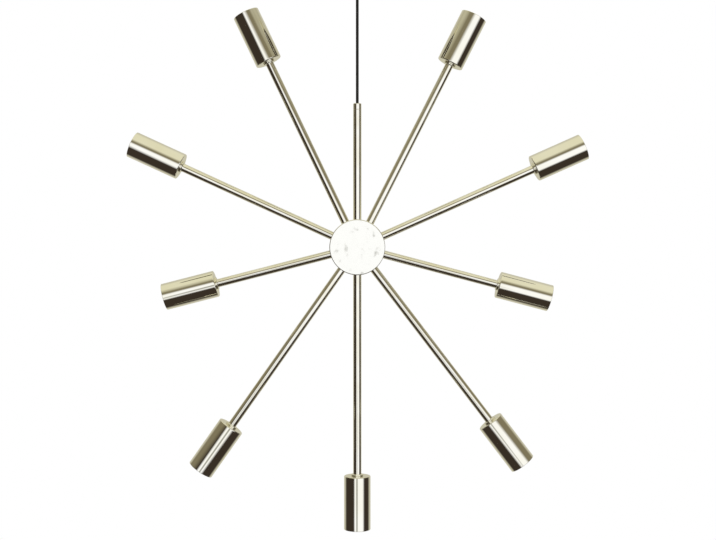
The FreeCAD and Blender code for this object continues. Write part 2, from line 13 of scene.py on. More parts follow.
import bmesh
import bpy
import numpy as np
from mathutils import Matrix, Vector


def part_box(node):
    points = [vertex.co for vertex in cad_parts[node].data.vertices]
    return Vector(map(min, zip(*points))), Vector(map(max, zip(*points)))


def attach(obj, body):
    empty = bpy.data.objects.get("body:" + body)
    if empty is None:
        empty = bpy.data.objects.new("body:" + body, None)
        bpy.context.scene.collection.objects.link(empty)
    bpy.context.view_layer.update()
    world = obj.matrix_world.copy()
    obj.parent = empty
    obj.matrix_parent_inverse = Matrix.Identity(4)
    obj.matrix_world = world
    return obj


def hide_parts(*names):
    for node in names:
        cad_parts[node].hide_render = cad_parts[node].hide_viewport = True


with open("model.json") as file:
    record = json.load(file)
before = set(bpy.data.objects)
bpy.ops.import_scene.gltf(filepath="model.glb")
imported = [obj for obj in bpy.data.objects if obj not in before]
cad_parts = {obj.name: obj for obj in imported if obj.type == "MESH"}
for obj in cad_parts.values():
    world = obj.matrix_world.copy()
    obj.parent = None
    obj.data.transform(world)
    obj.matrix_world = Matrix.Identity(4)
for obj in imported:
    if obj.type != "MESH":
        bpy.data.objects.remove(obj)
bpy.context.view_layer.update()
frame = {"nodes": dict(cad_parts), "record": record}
LOG = logging.getLogger("chandelier")
SHARP_ANGLE = math.radians(38)
SOCKET_TO_RIM = 31.8e-3
CARD_RADIUS = 14.0
FLOOR_RADIUS = 4.5
FLOOR_DEPTH = 1.8
MM = 0.001
Point = tuple[float, float, float]
Corner = tuple[float, float, float]


class Body(Enum):
    """Moving bodies of the record."""

    CEILING = "ceiling_fitting"
    BEND = "cord_bend"
    CORD = "cord"
    LAMP = "lamp"


class Slot(Enum):
    """Material slots of the record."""

    PLATE = "polished_plate"
    ZINC = "zinc_steel"
    JACKET = "cord_jacket"
    PLASTIC = "terminal_plastic"
    PORCELAIN = "porcelain"
    BRASS = "contact_brass"


class Tone(Enum):
    """The few plain tones of the studio that the metal reflects."""

    SCREEN = "#FFFFFF"
    CREAM = "#E0DCC0"
    OLIVE = "#807860"
    DARK = "#383028"
    GREY = "#A0A098"
    BEIGE = "#C8C4B0"


# places


@dataclass(frozen=True)
class Axis:
    """A straight line in the frame, about which a profile turns."""

    origin: Point
    direction: Point

    def sides(self) -> tuple[np.ndarray, np.ndarray, np.ndarray]:
        """Returns the unit direction and two unit vectors square to it."""
        along = np.array(self.direction, dtype=float)
        along /= np.linalg.norm(along)
        helper = np.array([0.0, 1.0, 0.0]) if abs(along[1]) < 0.9 else np.array([1.0, 0.0, 0.0])
        first = np.cross(helper, along)
        first /= np.linalg.norm(first)
        return along, first, np.cross(along, first)

    def at(self, height: float) -> np.ndarray:
        """Returns the point that far along the line."""
        return np.array(self.origin) + height * self.sides()[0]

    def carry(self, local: np.ndarray) -> np.ndarray:
        """Places points given as (first side, second side, along).

        Args:
            local: points in an (n, 3) array.

        Returns:
            The same points in the frame, in an (n, 3) array.
        """
        along, first, second = self.sides()
        basis = np.stack([first, second, along])
        return np.array(self.origin) + local @ basis


# surfaces


@dataclass
class Surface:
    """Vertices and faces of one closed skin."""

    verts: np.ndarray
    faces: list[tuple[int, ...]]


def rounded(corners: Sequence[Corner], closed: bool, steps: int = 5) -> np.ndarray:
    """Rounds the corners of a profile.

    Each corner is cut back along both its sides by radius / tan(half the angle between them), and
    the gap is filled by the arc that touches both sides there.

    Args:
        corners: (radius from the axis, height, rounding) of each corner.
        closed: whether the last corner joins the first.
        steps: straight pieces in each arc.

    Returns:
        The profile as an (n, 2) array.
    """
    count = len(corners)
    points = np.array([c[:2] for c in corners], dtype=float)
    rows: list[np.ndarray] = []
    for i, (_, _, radius) in enumerate(corners):
        here = points[i]
        if radius <= 0 or (not closed and i in (0, count - 1)):
            rows.append(here[None])
            continue
        back = points[i - 1] - here
        ahead = points[(i + 1) % count] - here
        back_unit = back / np.linalg.norm(back)
        ahead_unit = ahead / np.linalg.norm(ahead)
        half = 0.5 * math.acos(float(np.clip(back_unit @ ahead_unit, -1, 1)))
        bisector = back_unit + ahead_unit
        centre = here + bisector / np.linalg.norm(bisector) * radius / math.sin(half)
        start = here + back_unit * radius / math.tan(half) - centre
        end = here + ahead_unit * radius / math.tan(half) - centre
        sweep = math.pi - 2 * half
        t = np.linspace(0, 1, steps + 1)[:, None]
        rows.append(centre + (start * np.sin((1 - t) * sweep) + end * np.sin(t * sweep)) / math.sin(sweep))
    return np.concatenate(rows)


def held(profile: np.ndarray, closed: bool, gap: float = 0.12 * MM) -> np.ndarray:
    """Adds a holding point near both ends of each long side of a profile.

    Without them the rounding beside a long side would tilt its shading along its whole length.

    Args:
        profile: (radius, height) of each point.
        closed: whether the last point joins the first.
        gap: distance from a side's end to its holding point.

    Returns:
        The profile with the added points.
    """
    span = np.roll(profile, -1, axis=0) - profile
    length = np.linalg.norm(span, axis=1)
    long_side = length > 8 * gap
    if not closed:
        long_side[-1] = False
    share = np.where(long_side, gap / np.maximum(length, gap), 0)[:, None]
    rows = np.stack([profile, profile + share * span, profile + (1 - share) * span], axis=1)
    keep = np.stack([np.full(len(profile), True), long_side, long_side], axis=1)
    return rows[keep]


def revolved(profile: np.ndarray, axis: Axis, closed: bool, segments: int = 96) -> Surface:
    """Turns a profile about an axis.

    The point at turn t of the profile point (r, h) is r cos t and r sin t to the two sides and h along.

    Args:
        profile: (radius, height) of each point. An open one starts and ends on the axis.
        axis: the line to turn about.
        closed: whether the last point joins the first.
        segments: steps round the axis.

    Returns:
        The closed skin.
    """
    profile = held(profile, closed)
    body = profile if closed else profile[1:-1]
    turn = np.linspace(0, 2 * np.pi, segments, endpoint=False)
    r, t = np.meshgrid(body[:, 0], turn, indexing="ij")
    h = np.repeat(body[:, 1:2], segments, axis=1)
    local = np.stack([r * np.cos(t), r * np.sin(t), h], axis=-1).reshape(-1, 3)
    rows = len(body)
    index = np.arange(rows * segments).reshape(rows, segments)
    following = np.roll(index, -1, axis=0) if closed else index[1:]
    current = index if closed else index[:-1]
    quads = np.stack([current, np.roll(current, -1, 1), np.roll(following, -1, 1), following], -1)
    faces = [tuple(q) for q in quads.reshape(-1, 4).tolist()]
    if not closed:
        poles = np.array([[0, 0, profile[0, 1]], [0, 0, profile[-1, 1]]])
        local = np.concatenate([local, poles])
        first, last = len(local) - 2, len(local) - 1
        for pole, ring in ((first, index[0]), (last, index[-1])):
            fan = np.stack([np.full(segments, pole), ring, np.roll(ring, -1)], -1)
            faces += [tuple(f) for f in fan.tolist()]
    return Surface(axis.carry(local), faces)


def swept(path: np.ndarray, outline: np.ndarray, up: np.ndarray) -> Surface:
    """Carries a closed outline along a path, with a flat end at each side.

    Args:
        path: (n, 3) points of the path.
        outline: (m, 2) points of the outline, square to the path.
        up: the direction of the outline's second coordinate.

    Returns:
        The closed skin.
    """
    tangent = np.gradient(path, axis=0)
    tangent /= np.linalg.norm(tangent, axis=1, keepdims=True)
    side = np.cross(tangent, up)
    side /= np.linalg.norm(side, axis=1, keepdims=True)
    rise = np.cross(side, tangent)
    grid = (
        path[:, None]
        + side[:, None] * outline[None, :, 0:1]
        + rise[:, None] * outline[None, :, 1:2]
    )
    rows, columns = grid.shape[:2]
    index = np.arange(rows * columns).reshape(rows, columns)
    low, high = index[:-1], index[1:]
    quads = np.stack([low, np.roll(low, -1, 1), np.roll(high, -1, 1), high], -1)
    faces = [tuple(q) for q in quads.reshape(-1, 4).tolist()]
    faces += [tuple(index[0].tolist()), tuple(index[-1].tolist())]
    return Surface(grid.reshape(-1, 3), faces)


def rounded_box(centre: Point, half: Point, edge: float, steps: int = 4) -> Surface:
    """Box with rounded edges.

    A cube's surface grid is pressed into the inner box, and each point then moves out from there
    by the rounding along its own direction.

    Args:
        centre: middle of the box.
        half: half of its three sizes.
        edge: rounding of its edges.
        steps: steps in each rounding.

    Returns:
        The closed skin.
    """
    mesh = bmesh.new()
    bmesh.ops.create_cube(mesh, size=2.0)
    bmesh.ops.subdivide_edges(mesh, edges=mesh.edges, cuts=2 * steps + 1, use_grid_fill=True)
    cube = np.array([v.co for v in mesh.verts])
    faces = [tuple(v.index for v in f.verts) for f in mesh.faces]
    mesh.free()
    inner = np.array(half) - edge
    angle = cube * np.pi / 4
    way = np.where(np.abs(cube) > 0.999, np.sign(cube), np.tan(angle))
    way /= np.linalg.norm(way, axis=1, keepdims=True)
    return Surface(np.array(centre) + np.sign(np.round(cube, 6)) * inner + way * edge, faces)


def joined(parts: Sequence[Surface]) -> Surface:
    """Returns one surface that holds all the given ones."""
    verts: list[np.ndarray] = []
    faces: list[tuple[int, ...]] = []
    start = 0
    for part in parts:
        verts.append(part.verts)
        faces += [tuple(i + start for i in face) for face in part.faces]
        start += len(part.verts)
    return Surface(np.concatenate(verts), faces)


def piece(name: str, skin: Surface, material: bpy.types.Material, body: Body,
          replaces: Sequence[str] = ()) -> bpy.types.Object:
    """Makes one object of the chandelier from a skin.

    Args:
        name: the object's name.
        skin: its surface, with its place in its vertices.
        material: its finish.
        body: the moving body it rides on.
        replaces: CAD nodes that it stands for.

    Returns:
        The new object.
    """
    mesh = bpy.data.meshes.new(name)
    mesh.from_pydata(skin.verts.tolist(), [], skin.faces)
    work = bmesh.new()
    work.from_mesh(mesh)
    bmesh.ops.recalc_face_normals(work, faces=work.faces)
    work.to_mesh(mesh)
    work.free()
    mesh.shade_smooth()
    mesh.set_sharp_from_angle(angle=SHARP_ANGLE)
    mesh.materials.append(material)
    thing = bpy.data.objects.new(name, mesh)
    bpy.context.scene.collection.objects.link(thing)
    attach(thing, body.value)
    if replaces:
        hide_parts(*replaces)
    LOG.info("%s: %d faces", name, len(skin.faces))
    return thing


# finishes


def linear(code: str) -> tuple[float, float, float, float]:
    """Returns an sRGB hex colour as linear red, green, blue and an alpha of one."""
    parts = [int(code[i:i + 2], 16) / 255 for i in (1, 3, 5)]
    r, g, b = (c / 12.92 if c <= 0.04045 else ((c + 0.055) / 1.055) ** 2.4 for c in parts)
    return (r, g, b, 1.0)


def add_node(tree: bpy.types.NodeTree, kind: str, settings: dict | None = None,
             inputs: dict | None = None) -> bpy.types.Node:
    """Adds a node with its settings and inputs.

    Args:
        tree: the tree it joins.
        kind: the node's type name.
        settings: properties of the node.
        inputs: for each input name or number, a value or an output socket to link from.

    Returns:
        The new node.
    """
    node = tree.nodes.new(kind)
    for name, value in (settings or {}).items():
        setattr(node, name, value)
    for name, value in (inputs or {}).items():
        if isinstance(value, bpy.types.NodeSocket):
            tree.links.new(value, node.inputs[name])
        else:
            node.inputs[name].default_value = value
    return node


def set_ramp(node: bpy.types.Node, stops: Sequence[tuple[float, Tone]]) -> None:
    """Gives a colour ramp its stops, each a position and a tone of the studio."""
    elements = node.color_ramp.elements
    while len(elements) < len(stops):
        elements.new(1.0)
    for element, (position, tone) in zip(elements, stops):
        element.position = position
        element.color = linear(tone.value)


def noise(tree: bpy.types.NodeTree, scale: float, detail: float = 2.0,
          stretch: Point = (1, 1, 1)) -> bpy.types.NodeSocket:
    """Returns a noise of that scale per metre, on the object's own coordinates."""
    place = add_node(tree, "ShaderNodeTexCoord")
    mapping = add_node(tree, "ShaderNodeMapping", None, {"Vector": place.outputs["Object"], "Scale": stretch})
    grain = add_node(tree, "ShaderNodeTexNoise", None,
                     {"Vector": mapping.outputs[0], "Scale": scale, "Detail": detail})
    return grain.outputs[0]


def between(tree: bpy.types.NodeTree, value: bpy.types.NodeSocket, low: float, high: float,
            start: float = 0.35, end: float = 0.65) -> bpy.types.NodeSocket:
    """Returns value carried from the range start to end into low to high."""
    node = add_node(tree, "ShaderNodeMapRange", None,
                    {"Value": value, "From Min": start, "From Max": end, "To Min": low, "To Max": high})
    return node.outputs[0]


@dataclass(frozen=True)
class Finish:
    """A surface finish with slight wear.

    Its colour drifts between two tones, its gloss between two roughnesses, and fine relief is
    added on two scales.
    """

    name: str
    tone: str
    worn: str
    smooth: float
    rough: float
    metal: float
    relief: float
    grain: float
    patch: float = 30.0
    coat: float = 0.0
    stretch: Point = (1, 1, 1)
    worn_from: float = 0.35
    worn_to: float = 0.65

    def build(self) -> bpy.types.Material:
        """Returns the finish as a new material."""
        material = bpy.data.materials.new(self.name)
        material.use_nodes = True
        tree = material.node_tree
        shader = tree.nodes["Principled BSDF"]
        patches = noise(tree, self.patch, 4.0, self.stretch)
        grains = noise(tree, self.grain, 3.0, self.stretch)
        worn = between(tree, patches, 0, 1, self.worn_from, self.worn_to)
        colour = add_node(tree, "ShaderNodeMix", {"data_type": "RGBA"},
                          {0: worn, 6: linear(self.tone), 7: linear(self.worn)})
        tree.links.new(colour.outputs[2], shader.inputs["Base Color"])
        tree.links.new(between(tree, patches, self.smooth, self.rough), shader.inputs["Roughness"])
        shader.inputs["Metallic"].default_value = self.metal
        shader.inputs["Coat Weight"].default_value = self.coat
        wide = add_node(tree, "ShaderNodeBump", None,
                        {"Height": patches, "Strength": 0.25, "Distance": self.relief * 4})
        fine = add_node(tree, "ShaderNodeBump", None,
                        {"Height": grains, "Strength": 0.3, "Distance": self.relief,
                         "Normal": wide.outputs[0]})
        tree.links.new(fine.outputs[0], shader.inputs["Normal"])
        return material


# Bright nickel with a pale gold flash on drawn steel: buffed, so reflections stay sharp and only
# drift in patches of about 45 mm.
NICKEL_PLATE = Finish("polished_nickel_plate", "#FFFEF8", "#FAF8EC", 0.04, 0.07, 1.0, 0.000001, 500, 22)
# The same plating on drawn tube, whose 2 mm die lines leave it slightly softer.
PIPE_PLATE = Finish("nickel_plated_tube", "#FFFEF8", "#F9F6E8", 0.08, 0.12, 1.0, 0.000001, 500, 30)
# The same plating on a faced puck: dull fingermarks of about 5 to 10 mm stay grey in the shine.
HUB_PLATE = Finish("nickel_plated_puck", "#FFFFFB", "#C9C9C2", 0.1, 0.16, 1.0, 0.0000012, 500, 95,
                   worn_from=0.6, worn_to=0.76)
# Zinc-plated pressed steel: a satin grey with spangles of about 10 mm and a 2 mm grain.
ZINC_STEEL = Finish("zinc_plated_steel", "#C9CDD0", "#A7ACAF", 0.25, 0.42, 1.0, 0.00004, 420, 90)
# Black PVC flex sheath, extruded: matt, with faint marks drawn out along it.
PVC_SHEATH = Finish("black_pvc_sheath", "#0D0C0A", "#161512", 0.6, 0.72, 0.0, 0.00001, 600, 120,
                    stretch=(1, 1, 0.25))
# White PVC flat lead: satin, a little yellowed.
PVC_LEAD = Finish("white_pvc_lead", "#E6E2D4", "#D3CEBE", 0.4, 0.55, 0.0, 0.00002, 700, 120)
# Moulded polyamide of the terminal blocks: satin, with a spark-eroded grain near 1.5 mm.
POLYAMIDE = Finish("moulded_polyamide", "#EFEADB", "#E2DBC6", 0.35, 0.5, 0.0, 0.00002, 600, 80)
# Glazed porcelain: a hard wet gloss over a ripple of about 4 mm.
GLAZED_PORCELAIN = Finish("glazed_porcelain", "#F4F1E8", "#E9E4D6", 0.08, 0.16, 0.0, 0.00002, 260, 45,
                          coat=0.4)
# Stamped brass of the screw shells and contacts: golden, dulled in patches of about 14 mm.
STAMPED_BRASS = Finish("stamped_brass", "#D9B668", "#B98F44", 0.2, 0.36, 1.0, 0.00002, 600, 70)


# the lamp


@dataclass
class Hub:
    """Polished puck from which the arms leave."""

    radius: float
    front: float
    back: float
    axis: Axis
    cover: float = 2.5 * MM
    wall: float = 8 * MM
    face: float = 3 * MM

    def body(self) -> Surface:
        """Open cup with a rounded front edge and a soft inner edge."""
        seat = self.back - self.cover
        inner = self.radius - self.wall
        floor = self.front + self.face
        corners = [(0, self.front, 0), (self.radius, self.front, 1.4 * MM), (self.radius, seat, 0.25 * MM),
                   (inner, seat, 0.25 * MM), (inner, floor, 0.6 * MM), (0, floor, 0)]
        return revolved(rounded(corners, False, 8), self.axis, False, 160)

    def plate(self) -> Surface:
        """Cover with a rounded rim, a fine step off the body and a shallow ring groove."""
        seat = self.back - self.cover
        rim = self.radius - 0.12 * MM
        corners = [(0, seat, 0), (rim, seat, 0.2 * MM), (rim, self.back, 0.8 * MM),
                   (0.82 * rim, self.back, 0.15 * MM), (0.81 * rim, self.back - 0.35 * MM, 0.15 * MM),
                   (0.79 * rim, self.back - 0.35 * MM, 0.15 * MM), (0.78 * rim, self.back, 0.15 * MM),
                   (0, self.back, 0)]
        return revolved(rounded(corners, False, 5), self.axis, False, 160)

    def screws(self) -> Surface:
        """Three low heads with a round recess, flush in the cover between its middle and its rim."""
        heads = []
        along, first, second = self.axis.sides()
        for turn in (0.0, 120.0, 240.0):
            angle = math.radians(turn + 90)
            place = self.axis.at(self.back) + 0.6 * self.radius * (
                math.cos(angle) * first + math.sin(angle) * second)
            line = Axis(tuple(float(v) for v in place), self.axis.direction)
            corners = [(0, -1.2 * MM, 0), (3.2 * MM, -1.2 * MM, 0), (3.2 * MM, -0.35 * MM, 0.1 * MM),
                       (2.6 * MM, -0.02 * MM, 0.4 * MM), (1.1 * MM, -0.05 * MM, 0.2 * MM),
                       (0.8 * MM, -0.9 * MM, 0.1 * MM), (0, -0.9 * MM, 0)]
            heads.append(revolved(rounded(corners, False, 4), line, False, 48))
        return joined(heads)


@dataclass
class Arm:
    """One arm: its tube, cup, collar, lampholder, screw shell and contact."""

    number: int
    axis: Axis
    reach: float
    hub_radius: float
    tube: float = 6.35 * MM
    bore: float = 5.1 * MM
    cup: float = 20.5 * MM
    length: float = 83 * MM
    wall: float = 1.2 * MM

    @property
    def base(self) -> float:
        """Distance from the hub's centre to the closed end of the cup."""
        return self.reach - self.length

    def tube_skin(self) -> Surface:
        """Tube from inside the hub to the lampholder, with softened ends."""
        start = self.hub_radius - 7 * MM
        end = self.base + 11 * MM
        corners = [(self.bore, start, 0.15 * MM), (self.tube, start, 0.4 * MM),
                   (self.tube, end, 0.3 * MM), (self.bore, end, 0.15 * MM)]
        return revolved(rounded(corners, True, 3), self.axis, True, 80)

    def cup_skin(self) -> Surface:
        """Drawn cup with a tight round at its closed end and a softened open rim."""
        low, high, inner = self.base, self.reach, self.cup - self.wall
        corners = [(self.tube + 0.1 * MM, low, 0.1 * MM), (self.cup, low, 1.6 * MM),
                   (self.cup, high, 0.5 * MM), (inner, high, 0.5 * MM),
                   (inner, low + self.wall, 1.0 * MM), (self.tube + 0.1 * MM, low + self.wall, 0.1 * MM)]
        return revolved(rounded(corners, True, 7), self.axis, True, 144)

    def collar_skin(self) -> Surface:
        """Ring nut behind the cup, with a domed edge."""
        low, high, hole = self.base - 2.6 * MM, self.base - 0.02 * MM, self.tube + 0.1 * MM
        corners = [(hole, low, 0.2 * MM), (8.6 * MM, low, 0.5 * MM), (9.75 * MM, low + 0.7 * MM, 0.4 * MM),
                   (9.75 * MM, high - 0.5 * MM, 0.3 * MM), (9.3 * MM, high, 0.1 * MM),
                   (hole, high, 0.05 * MM)]
        return revolved(rounded(corners, True, 4), self.axis, True, 96)

    def holder_skin(self) -> Surface:
        """Porcelain body with a stepped well, a rounded mouth and a groove round it."""
        hole, outside, low = self.tube + 0.1 * MM, 18 * MM, self.base + self.wall
        front, shoulder, floor = self.base + 63.2 * MM, self.base + 39.2 * MM, self.base + 33.2 * MM
        corners = [(hole, low + 0.02 * MM, 0.3 * MM), (outside, low + 0.02 * MM, 1.5 * MM),
                   (outside, front - 12 * MM, 0.4 * MM), (outside - 0.8 * MM, front - 11 * MM, 0.4 * MM),
                   (outside - 0.8 * MM, front - 9 * MM, 0.4 * MM), (outside, front - 8 * MM, 0.4 * MM),
                   (outside, front, 2.2 * MM), (14.3 * MM, front, 0.6 * MM),
                   (14.3 * MM, shoulder, 0.3 * MM), (10 * MM, shoulder, 0.4 * MM), (10 * MM, floor, 0.6 * MM),
                   (0, floor, 0)]
        outer = rounded(corners, False, 5)
        back = np.array([[0, self.base + 11.2 * MM], [hole, self.base + 11.2 * MM]])
        return revolved(np.concatenate([back, outer]), self.axis, False, 96)

    def shell_skin(self) -> Surface:
        """Brass screw shell, whose rolled thread swings 0.35 mm in and out as a smooth wave.

        The radius at height h is the middle radius less the swing times the cosine of the turns
        made at h; round the axis the wave is carried on by the pitch, which gives one helix.
        """
        low, high, turns, swing = self.base + 39.4 * MM, self.base + 62 * MM, 6.0, 0.35 * MM
        rows, columns = 110, 96
        h, t = np.meshgrid(np.linspace(0, 1, rows), np.linspace(0, 2 * np.pi, columns, endpoint=False),
                           indexing="ij")
        ends = np.clip(np.minimum(h, 1 - h) * 12, 0, 1)
        wave = swing * ends * np.cos(2 * np.pi * turns * h - t)
        layers = []
        for middle in (13.85 * MM, 13.55 * MM):
            r = middle - wave
            layers.append(np.stack([r * np.cos(t), r * np.sin(t), low + (high - low) * h], -1))
        grid = np.concatenate([layers[0], layers[1][::-1]])
        index = np.arange(2 * rows * columns).reshape(2 * rows, columns)
        after = np.roll(index, -1, 0)
        quads = np.stack([index, np.roll(index, -1, 1), np.roll(after, -1, 1), after], -1)
        faces = [tuple(q) for q in quads.reshape(-1, 4).tolist()]
        return Surface(self.axis.carry(grid.reshape(-1, 3)), faces)

    def contact_skin(self) -> Surface:
        """Sprung strip on the well's floor: flat foot, S-shaped rise, flat tongue."""
        floor = self.base + 33.2 * MM
        s = np.linspace(0, 1, 60)
        across = -7.6 * MM + 13.6 * MM * s
        rise = np.clip((s - 0.38) / 0.28, 0, 1)
        lift = 0.35 * MM + 2.1 * MM * (3 * rise**2 - 2 * rise**3)
        path = self.axis.carry(np.stack([across, 0 * s, floor + lift], -1))
        a = np.linspace(0, 2 * np.pi, 24, endpoint=False)
        outline = np.stack([2.45 * MM * np.sign(np.cos(a)) * np.abs(np.cos(a))**0.3,
                            0.24 * MM * np.sign(np.sin(a)) * np.abs(np.sin(a))**0.6], -1)
        return swept(path, outline, self.axis.sides()[0])

    def lead_skin(self) -> Surface:
        """Flat two-core lead: two round cores side by side under one sheath, with a groove between."""
        start, end = 12.6 * MM, self.base + 10.9 * MM
        s = np.linspace(0, 1, 24)
        path = self.axis.carry(np.stack([0 * s, 0 * s, start + (end - start) * s], -1))
        a = np.linspace(0, 2 * np.pi, 40, endpoint=False)
        waist = 1 - 0.22 * np.abs(np.sin(a))**8
        outline = np.stack([2.25 * MM * np.cos(a), 1.28 * MM * waist * np.sign(np.sin(a))
                            * np.abs(np.sin(a))**0.6], -1)
        return swept(path, outline, np.array([1.0, 0.0, 0.0]) if abs(self.axis.direction[0]) < 0.7
                     else np.array([0.0, 0.0, 1.0]))


@dataclass
class Stem:
    """Upright tube over the hub with the cap through which the cord enters."""

    axis: Axis
    top: float
    seam: float
    foot: float
    spigot_end: float
    radius: float = 6.35 * MM
    bore: float = 5.1 * MM
    cord_hole: float = 2.3 * MM

    def tube_skin(self) -> Surface:
        """Tube from inside the hub to the cap."""
        corners = [(self.bore, self.foot, 0.15 * MM), (self.radius, self.foot, 0.3 * MM),
                   (self.radius, self.seam - 0.03 * MM, 0.35 * MM),
                   (self.bore, self.seam - 0.03 * MM, 0.1 * MM)]
        return revolved(rounded(corners, True, 4), self.axis, True, 96)

    def cap_skin(self) -> Surface:
        """Cap with a rounded shoulder, a countersunk cord hole and a spigot inside the tube."""
        spigot = self.bore - 0.06 * MM
        corners = [(self.cord_hole, self.spigot_end, 0.1 * MM), (spigot, self.spigot_end, 0.3 * MM),
                   (spigot, self.seam, 0.1 * MM), (self.radius, self.seam, 0.3 * MM),
                   (self.radius, self.top, 1.1 * MM), (3.5 * MM, self.top, 0.3 * MM),
                   (self.cord_hole, self.top - 1.2 * MM, 0.3 * MM)]
        return revolved(rounded(corners, True, 5), self.axis, True, 96)


@dataclass
class CeilingFitting:
    """Spun canopy with its cord grip and side screws."""

    axis: Axis
    underside: float
    mouth: float
    barrel_top: float
    radius: float = 55 * MM
    wall: float = 1.2 * MM
    screw_level: float = -8 * MM

    def canopy_skin(self) -> Surface:
        """Shallow cup, open at the ceiling, with a rounded lower edge and a softened upper rim."""
        inner, floor, hole = self.radius - self.wall, self.underside + self.wall, 5.1 * MM
        corners = [(hole, self.underside, 0.2 * MM), (self.radius, self.underside, 4.2 * MM),
                   (self.radius, 0, 0.4 * MM), (inner, 0, 0.4 * MM), (inner, floor, 3 * MM),
                   (hole, floor, 0.2 * MM)]
        return revolved(rounded(corners, True, 10), self.axis, True, 192)

    def grip_skin(self) -> Surface:
        """Cord grip: threaded barrel, flange under the canopy and a tapered, flared nose."""
        low, high, flange = self.mouth, self.barrel_top, self.underside
        corners = [(2.3 * MM, high, 0.2 * MM), (5 * MM, high, 0.4 * MM), (5 * MM, flange, 0.1 * MM),
                   (8.5 * MM, flange, 0.3 * MM), (8.5 * MM, flange - 3 * MM, 0.9 * MM),
                   (7.2 * MM, flange - 4 * MM, 0.8 * MM), (6.3 * MM, low, 0.25 * MM),
                   (5.8 * MM, low, 0.25 * MM), (5.5 * MM, low + 8.3 * MM, 0.8 * MM),
                   (2.3 * MM, low + 8.3 * MM, 0.1 * MM)]
        return revolved(rounded(corners, True, 6), self.axis, True, 96)

    def screw_skin(self, side: float) -> Surface:
        """Knurled thumb screw in the canopy's side.

        The head's radius at turn t is its own plus 0.12 mm times the cosine of 32 t.

        Args:
            side: +1 for the screw towards +X, -1 for the other.
        """
        line = Axis((side * self.radius, 0.0, self.screw_level), (side, 0.0, 0.0))
        corners = [(0, -7 * MM, 0), (1.9 * MM, -7 * MM, 0.4 * MM), (1.9 * MM, 0, 0.05 * MM),
                   (3.4 * MM, 0, 0.25 * MM), (3.4 * MM, 2.2 * MM, 0.6 * MM), (0, 2.2 * MM, 0)]
        skin = revolved(rounded(corners, False, 6), line, False, 192)
        along, first, second = line.sides()
        local = skin.verts - np.array(line.origin)
        x, y, h = local @ first, local @ second, local @ along
        r = np.hypot(x, y)
        ridge = np.where((r > 3.2 * MM) & (h > 0.2 * MM), 0.1 * MM * np.cos(32 * np.arctan2(y, x)), 0)
        scale = np.where(r > 0, 1 + ridge / np.maximum(r, 1e-9), 1)
        verts = (np.array(line.origin) + (x * scale)[:, None] * first + (y * scale)[:, None] * second
                 + h[:, None] * along)
        return Surface(verts, skin.faces)


@dataclass
class Flex:
    """The free cord between the grip and the stem's cap."""

    low: float
    high: float
    diameter: float = 4.4 * MM

    def build(self, material: bpy.types.Material, far_pieces: Sequence[object]) -> bpy.types.Object:
        """Makes the cord as one smooth curve.

        Args:
            material: its finish.
            far_pieces: the pieces in which it ends; not used.

        Returns:
            The curve.
        """
        data = bpy.data.curves.new("cord_flex", "CURVE")
        data.dimensions = "3D"
        data.resolution_u = 12
        data.bevel_depth = self.diameter / 2
        data.bevel_resolution = 8
        data.use_fill_caps = True
        spline = data.splines.new("NURBS")
        levels = np.linspace(self.low, self.high, 9)
        spline.points.add(len(levels) - 1)
        rows = np.stack([0 * levels, 0 * levels, levels, 0 * levels + 1], -1)
        spline.points.foreach_set("co", rows.ravel())
        spline.order_u = 3
        spline.use_endpoint_u = True
        data.materials.append(material)
        flex = bpy.data.objects.new("cord_flex", data)
        bpy.context.scene.collection.objects.link(flex)
        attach(flex, Body.CORD.value)
        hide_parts("cord")
        return flex


# the studio


